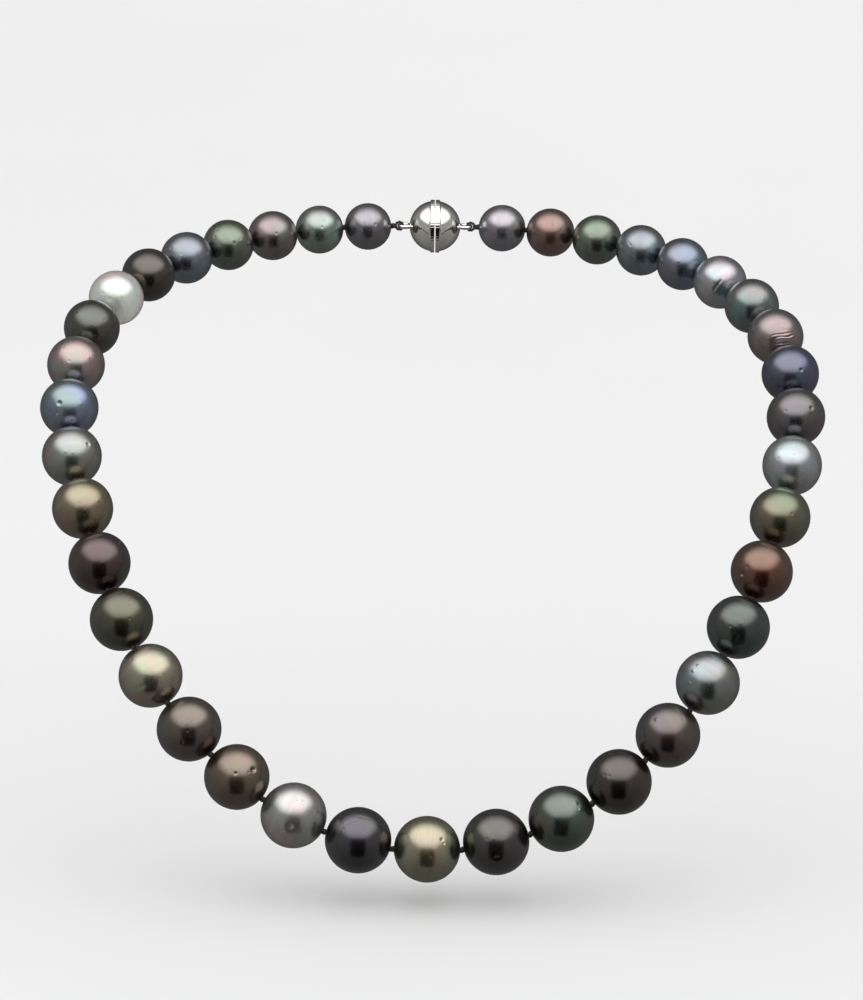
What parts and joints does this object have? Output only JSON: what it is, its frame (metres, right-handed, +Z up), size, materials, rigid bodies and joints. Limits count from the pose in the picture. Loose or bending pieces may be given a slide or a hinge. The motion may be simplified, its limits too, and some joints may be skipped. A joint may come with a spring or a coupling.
{
  "type": "pearl necklace",
  "caption": "Graduated strand of round dark drilled pearls, knotted on silk and closed at the nape by a magnetic ball clasp, in the shape it takes on a wearer's neck.",
  "frame": {"origin": "midway between the two pearls that rest on the sides of the neck", "axes": "+X towards the wearer's left shoulder, which is the right of a front view; +Y from the chest to the nape; +Z up"},
  "size_m": [0.146, 0.1331, 0.0977],
  "materials": {
    "nacre_front": "gloss",
    "nacre_left_01": "gloss",
    "nacre_left_02": "gloss",
    "nacre_left_03": "gloss",
    "nacre_left_04": "gloss",
    "nacre_left_05": "gloss",
    "nacre_left_06": "gloss",
    "nacre_left_07": "gloss",
    "nacre_left_08": "gloss",
    "nacre_left_09": "gloss",
    "nacre_left_10": "gloss",
    "nacre_left_11": "gloss",
    "nacre_left_12": "gloss",
    "nacre_left_13": "gloss",
    "nacre_left_14": "gloss",
    "nacre_left_15": "gloss",
    "nacre_left_16": "gloss",
    "nacre_left_17": "gloss",
    "nacre_left_18": "gloss",
    "nacre_left_19": "gloss",
    "nacre_right_01": "gloss",
    "nacre_right_02": "gloss",
    "nacre_right_03": "gloss",
    "nacre_right_04": "gloss",
    "nacre_right_05": "gloss",
    "nacre_right_06": "gloss",
    "nacre_right_07": "gloss",
    "nacre_right_08": "gloss",
    "nacre_right_09": "gloss",
    "nacre_right_10": "gloss",
    "nacre_right_11": "gloss",
    "nacre_right_12": "gloss",
    "nacre_right_13": "gloss",
    "nacre_right_14": "gloss",
    "nacre_right_15": "gloss",
    "nacre_right_16": "gloss",
    "nacre_right_17": "gloss",
    "nacre_right_18": "gloss",
    "nacre_right_19": "gloss",
    "silk": "satin",
    "white_gold": "polished",
    "magnet": "satin"
  },
  "bodies": {
    "strand_shoulders": {"silk_shoulders": "silk"},
    "strand_12": {"silk_drop_12": "silk"},
    "strand_11": {"silk_drop_11": "silk"},
    "strand_10": {"silk_drop_10": "silk"},
    "strand_09": {"silk_drop_09": "silk"},
    "strand_08": {"silk_drop_08": "silk"},
    "strand_07": {"silk_drop_07": "silk"},
    "strand_06": {"silk_drop_06": "silk"},
    "strand_05": {"silk_drop_05": "silk"},
    "strand_04": {"silk_drop_04": "silk"},
    "strand_03": {"silk_drop_03": "silk"},
    "strand_02": {"silk_drop_02": "silk"},
    "strand_01": {"silk_drop_01": "silk"},
    "tail_left_a": {"silk_tail_left_a": "silk"},
    "tail_left_b": {"silk_tail_left_b": "silk", "clasp_half_left": "white_gold", "clasp_magnet_left": "magnet"},
    "tail_right_a": {"silk_tail_right_a": "silk"},
    "tail_right_b": {"silk_tail_right_b": "silk", "clasp_half_right": "white_gold", "clasp_magnet_right": "magnet"},
    "pearl_front": {"pearl_front": "nacre_front"},
    "pearl_left_01": {"pearl_left_01": "nacre_left_01"},
    "pearl_left_02": {"pearl_left_02": "nacre_left_02"},
    "pearl_left_03": {"pearl_left_03": "nacre_left_03"},
    "pearl_left_04": {"pearl_left_04": "nacre_left_04"},
    "pearl_left_05": {"pearl_left_05": "nacre_left_05"},
    "pearl_left_06": {"pearl_left_06": "nacre_left_06"},
    "pearl_left_07": {"pearl_left_07": "nacre_left_07"},
    "pearl_left_08": {"pearl_left_08": "nacre_left_08"},
    "pearl_left_09": {"pearl_left_09": "nacre_left_09"},
    "pearl_left_10": {"pearl_left_10": "nacre_left_10"},
    "pearl_left_11": {"pearl_left_11": "nacre_left_11"},
    "pearl_left_12": {"pearl_left_12": "nacre_left_12"},
    "pearl_left_13": {"pearl_left_13": "nacre_left_13"},
    "pearl_left_14": {"pearl_left_14": "nacre_left_14"},
    "pearl_left_15": {"pearl_left_15": "nacre_left_15"},
    "pearl_left_16": {"pearl_left_16": "nacre_left_16"},
    "pearl_left_17": {"pearl_left_17": "nacre_left_17"},
    "pearl_left_18": {"pearl_left_18": "nacre_left_18"},
    "pearl_left_19": {"pearl_left_19": "nacre_left_19"},
    "pearl_right_01": {"pearl_right_01": "nacre_right_01"},
    "pearl_right_02": {"pearl_right_02": "nacre_right_02"},
    "pearl_right_03": {"pearl_right_03": "nacre_right_03"},
    "pearl_right_04": {"pearl_right_04": "nacre_right_04"},
    "pearl_right_05": {"pearl_right_05": "nacre_right_05"},
    "pearl_right_06": {"pearl_right_06": "nacre_right_06"},
    "pearl_right_07": {"pearl_right_07": "nacre_right_07"},
    "pearl_right_08": {"pearl_right_08": "nacre_right_08"},
    "pearl_right_09": {"pearl_right_09": "nacre_right_09"},
    "pearl_right_10": {"pearl_right_10": "nacre_right_10"},
    "pearl_right_11": {"pearl_right_11": "nacre_right_11"},
    "pearl_right_12": {"pearl_right_12": "nacre_right_12"},
    "pearl_right_13": {"pearl_right_13": "nacre_right_13"},
    "pearl_right_14": {"pearl_right_14": "nacre_right_14"},
    "pearl_right_15": {"pearl_right_15": "nacre_right_15"},
    "pearl_right_16": {"pearl_right_16": "nacre_right_16"},
    "pearl_right_17": {"pearl_right_17": "nacre_right_17"},
    "pearl_right_18": {"pearl_right_18": "nacre_right_18"},
    "pearl_right_19": {"pearl_right_19": "nacre_right_19"}
  },
  "joints": [
    {"name": "lift_12", "type": "hinge", "parent": "strand_shoulders", "child": "strand_12", "pos_m": [0, -0.0047, -0.00147], "axis": [-1, 0, 0], "range_deg": [0, 30]},
    {"name": "lift_11", "type": "hinge", "parent": "strand_12", "child": "strand_11", "pos_m": [0, -0.01463, -0.00552], "axis": [-1, 0, 0], "range_deg": [0, 30]},
    {"name": "lift_10", "type": "hinge", "parent": "strand_11", "child": "strand_10", "pos_m": [0, -0.02464, -0.0107], "axis": [-1, 0, 0], "range_deg": [0, 30]},
    {"name": "lift_09", "type": "hinge", "parent": "strand_10", "child": "strand_09", "pos_m": [0, -0.03431, -0.01698], "axis": [-1, 0, 0], "range_deg": [0, 30]},
    {"name": "lift_08", "type": "hinge", "parent": "strand_09", "child": "strand_08", "pos_m": [0, -0.04332, -0.02418], "axis": [-1, 0, 0], "range_deg": [0, 30]},
    {"name": "lift_07", "type": "hinge", "parent": "strand_08", "child": "strand_07", "pos_m": [0, -0.05164, -0.03199], "axis": [-1, 0, 0], "range_deg": [0, 30]},
    {"name": "lift_06", "type": "hinge", "parent": "strand_07", "child": "strand_06", "pos_m": [0, -0.05933, -0.04025], "axis": [-1, 0, 0], "range_deg": [0, 30]},
    {"name": "lift_05", "type": "hinge", "parent": "strand_06", "child": "strand_05", "pos_m": [0, -0.06633, -0.04886], "axis": [-1, 0, 0], "range_deg": [0, 30]},
    {"name": "lift_04", "type": "hinge", "parent": "strand_05", "child": "strand_04", "pos_m": [0, -0.07231, -0.0574], "axis": [-1, 0, 0], "range_deg": [0, 30]},
    {"name": "lift_03", "type": "hinge", "parent": "strand_04", "child": "strand_03", "pos_m": [0, -0.07709, -0.06542], "axis": [-1, 0, 0], "range_deg": [0, 30]},
    {"name": "lift_02", "type": "hinge", "parent": "strand_03", "child": "strand_02", "pos_m": [0, -0.08066, -0.07255], "axis": [-1, 0, 0], "range_deg": [0, 30]},
    {"name": "lift_01", "type": "hinge", "parent": "strand_02", "child": "strand_01", "pos_m": [0, -0.08288, -0.07778], "axis": [-1, 0, 0], "range_deg": [0, 30]},
    {"name": "open_left_a", "type": "hinge", "parent": "strand_shoulders", "child": "tail_left_a", "pos_m": [-0.05808, 0.0047, 0.00147], "axis": [0, 0, 1], "range_deg": [0, 40]},
    {"name": "open_left_b", "type": "hinge", "parent": "tail_left_a", "child": "tail_left_b", "pos_m": [-0.03606, 0.02719, 0.00533], "axis": [0, 0, 1], "range_deg": [0, 40]},
    {"name": "open_right_a", "type": "hinge", "parent": "strand_shoulders", "child": "tail_right_a", "pos_m": [0.05808, 0.0047, 0.00147], "axis": [0, 0, -1], "range_deg": [0, 40]},
    {"name": "open_right_b", "type": "hinge", "parent": "tail_right_a", "child": "tail_right_b", "pos_m": [0.03606, 0.02719, 0.00533], "axis": [0, 0, -1], "range_deg": [0, 40]},
    {"name": "spin_front", "type": "hinge", "parent": "strand_01", "child": "pearl_front", "pos_m": [0, -0.08386, -0.08054], "axis": [1, 0, 0], "continuous": true},
    {"name": "spin_left_01", "type": "hinge", "parent": "strand_01", "child": "pearl_left_01", "pos_m": [-0.01241, -0.08337, -0.07916], "axis": [-0.9724, 0.0779, 0.22], "continuous": true},
    {"name": "spin_left_02", "type": "hinge", "parent": "strand_02", "child": "pearl_left_02", "pos_m": [-0.02409, -0.08177, -0.07516], "axis": [-0.891, 0.1774, 0.4179], "continuous": true},
    {"name": "spin_left_03", "type": "hinge", "parent": "strand_03", "child": "pearl_left_03", "pos_m": [-0.03443, -0.07888, -0.06899], "axis": [-0.7671, 0.2873, 0.5736], "continuous": true},
    {"name": "spin_left_04", "type": "hinge", "parent": "strand_04", "child": "pearl_left_04", "pos_m": [-0.04322, -0.0747, -0.06141], "axis": [-0.6531, 0.3878, 0.6505], "continuous": true},
    {"name": "spin_left_05", "type": "hinge", "parent": "strand_05", "child": "pearl_left_05", "pos_m": [-0.05043, -0.06932, -0.05313], "axis": [-0.5216, 0.4894, 0.6989], "continuous": true},
    {"name": "spin_left_06", "type": "hinge", "parent": "strand_06", "child": "pearl_left_06", "pos_m": [-0.05604, -0.06283, -0.04456], "axis": [-0.4002, 0.578, 0.7112], "continuous": true},
    {"name": "spin_left_07", "type": "hinge", "parent": "strand_07", "child": "pearl_left_07", "pos_m": [-0.06046, -0.05549, -0.03612], "axis": [-0.3333, 0.6424, 0.6901], "continuous": true},
    {"name": "spin_left_08", "type": "hinge", "parent": "strand_08", "child": "pearl_left_08", "pos_m": [-0.06402, -0.04748, -0.02808], "axis": [-0.2644, 0.703, 0.6602], "continuous": true},
    {"name": "spin_left_09", "type": "hinge", "parent": "strand_09", "child": "pearl_left_09", "pos_m": [-0.06653, -0.03882, -0.02058], "axis": [-0.1627, 0.7711, 0.6156], "continuous": true},
    {"name": "spin_left_10", "type": "hinge", "parent": "strand_10", "child": "pearl_left_10", "pos_m": [-0.06758, -0.02948, -0.01384], "axis": [-0.0171, 0.8385, 0.5446], "continuous": true},
    {"name": "spin_left_11", "type": "hinge", "parent": "strand_11", "child": "pearl_left_11", "pos_m": [-0.06695, -0.01964, -0.00811], "axis": [0.1294, 0.8804, 0.4563], "continuous": true},
    {"name": "spin_left_12", "type": "hinge", "parent": "strand_12", "child": "pearl_left_12", "pos_m": [-0.0646, -0.00967, -0.00349], "axis": [0.2869, 0.887, 0.362], "continuous": true},
    {"name": "spin_left_13", "type": "hinge", "parent": "strand_shoulders", "child": "pearl_left_13", "pos_m": [-0.06054, 0, 0], "axis": [0.4467, 0.8542, 0.2661], "continuous": true},
    {"name": "spin_left_14", "type": "hinge", "parent": "tail_left_a", "child": "pearl_left_14", "pos_m": [-0.05486, 0.00896, 0.0024], "axis": [0.5936, 0.786, 0.1728], "continuous": true},
    {"name": "spin_left_15", "type": "hinge", "parent": "tail_left_a", "child": "pearl_left_15", "pos_m": [-0.04794, 0.01697, 0.00395], "axis": [0.6985, 0.7063, 0.115], "continuous": true},
    {"name": "spin_left_16", "type": "hinge", "parent": "tail_left_a", "child": "pearl_left_16", "pos_m": [-0.04014, 0.02396, 0.00495], "axis": [0.7818, 0.6191, 0.0738], "continuous": true},
    {"name": "spin_left_17", "type": "hinge", "parent": "tail_left_b", "child": "pearl_left_17", "pos_m": [-0.0317, 0.02985, 0.00553], "axis": [0.8532, 0.5202, 0.0396], "continuous": true},
    {"name": "spin_left_18", "type": "hinge", "parent": "tail_left_b", "child": "pearl_left_18", "pos_m": [-0.02267, 0.03433, 0.00582], "axis": [0.9317, 0.3628, 0.0177], "continuous": true},
    {"name": "spin_left_19", "type": "hinge", "parent": "tail_left_b", "child": "pearl_left_19", "pos_m": [-0.01319, 0.03705, 0.00594], "axis": [0.9828, 0.1848, 0.0045], "continuous": true},
    {"name": "spin_right_01", "type": "hinge", "parent": "strand_01", "child": "pearl_right_01", "pos_m": [0.01241, -0.08337, -0.07916], "axis": [0.9724, 0.0779, 0.22], "continuous": true},
    {"name": "spin_right_02", "type": "hinge", "parent": "strand_02", "child": "pearl_right_02", "pos_m": [0.02409, -0.08177, -0.07516], "axis": [0.891, 0.1774, 0.4179], "continuous": true},
    {"name": "spin_right_03", "type": "hinge", "parent": "strand_03", "child": "pearl_right_03", "pos_m": [0.03443, -0.07888, -0.06899], "axis": [0.7671, 0.2873, 0.5736], "continuous": true},
    {"name": "spin_right_04", "type": "hinge", "parent": "strand_04", "child": "pearl_right_04", "pos_m": [0.04322, -0.0747, -0.06141], "axis": [0.6531, 0.3878, 0.6505], "continuous": true},
    {"name": "spin_right_05", "type": "hinge", "parent": "strand_05", "child": "pearl_right_05", "pos_m": [0.05043, -0.06932, -0.05313], "axis": [0.5216, 0.4894, 0.6989], "continuous": true},
    {"name": "spin_right_06", "type": "hinge", "parent": "strand_06", "child": "pearl_right_06", "pos_m": [0.05604, -0.06283, -0.04456], "axis": [0.4002, 0.578, 0.7112], "continuous": true},
    {"name": "spin_right_07", "type": "hinge", "parent": "strand_07", "child": "pearl_right_07", "pos_m": [0.06046, -0.05549, -0.03612], "axis": [0.3333, 0.6424, 0.6901], "continuous": true},
    {"name": "spin_right_08", "type": "hinge", "parent": "strand_08", "child": "pearl_right_08", "pos_m": [0.06402, -0.04748, -0.02808], "axis": [0.2644, 0.703, 0.6602], "continuous": true},
    {"name": "spin_right_09", "type": "hinge", "parent": "strand_09", "child": "pearl_right_09", "pos_m": [0.06653, -0.03882, -0.02058], "axis": [0.1627, 0.7711, 0.6156], "continuous": true},
    {"name": "spin_right_10", "type": "hinge", "parent": "strand_10", "child": "pearl_right_10", "pos_m": [0.06758, -0.02948, -0.01384], "axis": [0.0171, 0.8385, 0.5446], "continuous": true},
    {"name": "spin_right_11", "type": "hinge", "parent": "strand_11", "child": "pearl_right_11", "pos_m": [0.06695, -0.01964, -0.00811], "axis": [-0.1294, 0.8804, 0.4563], "continuous": true},
    {"name": "spin_right_12", "type": "hinge", "parent": "strand_12", "child": "pearl_right_12", "pos_m": [0.0646, -0.00967, -0.00349], "axis": [-0.2869, 0.887, 0.362], "continuous": true},
    {"name": "spin_right_13", "type": "hinge", "parent": "strand_shoulders", "child": "pearl_right_13", "pos_m": [0.06054, 0, 0], "axis": [-0.4467, 0.8542, 0.2661], "continuous": true},
    {"name": "spin_right_14", "type": "hinge", "parent": "tail_right_a", "child": "pearl_right_14", "pos_m": [0.05486, 0.00896, 0.0024], "axis": [-0.5936, 0.786, 0.1728], "continuous": true},
    {"name": "spin_right_15", "type": "hinge", "parent": "tail_right_a", "child": "pearl_right_15", "pos_m": [0.04794, 0.01697, 0.00395], "axis": [-0.6985, 0.7063, 0.115], "continuous": true},
    {"name": "spin_right_16", "type": "hinge", "parent": "tail_right_a", "child": "pearl_right_16", "pos_m": [0.04014, 0.02396, 0.00495], "axis": [-0.7818, 0.6191, 0.0738], "continuous": true},
    {"name": "spin_right_17", "type": "hinge", "parent": "tail_right_b", "child": "pearl_right_17", "pos_m": [0.0317, 0.02985, 0.00553], "axis": [-0.8532, 0.5202, 0.0396], "continuous": true},
    {"name": "spin_right_18", "type": "hinge", "parent": "tail_right_b", "child": "pearl_right_18", "pos_m": [0.02267, 0.03433, 0.00582], "axis": [-0.9317, 0.3628, 0.0177], "continuous": true},
    {"name": "spin_right_19", "type": "hinge", "parent": "tail_right_b", "child": "pearl_right_19", "pos_m": [0.01319, 0.03705, 0.00594], "axis": [-0.9828, 0.1848, 0.0045], "continuous": true}
  ]
}
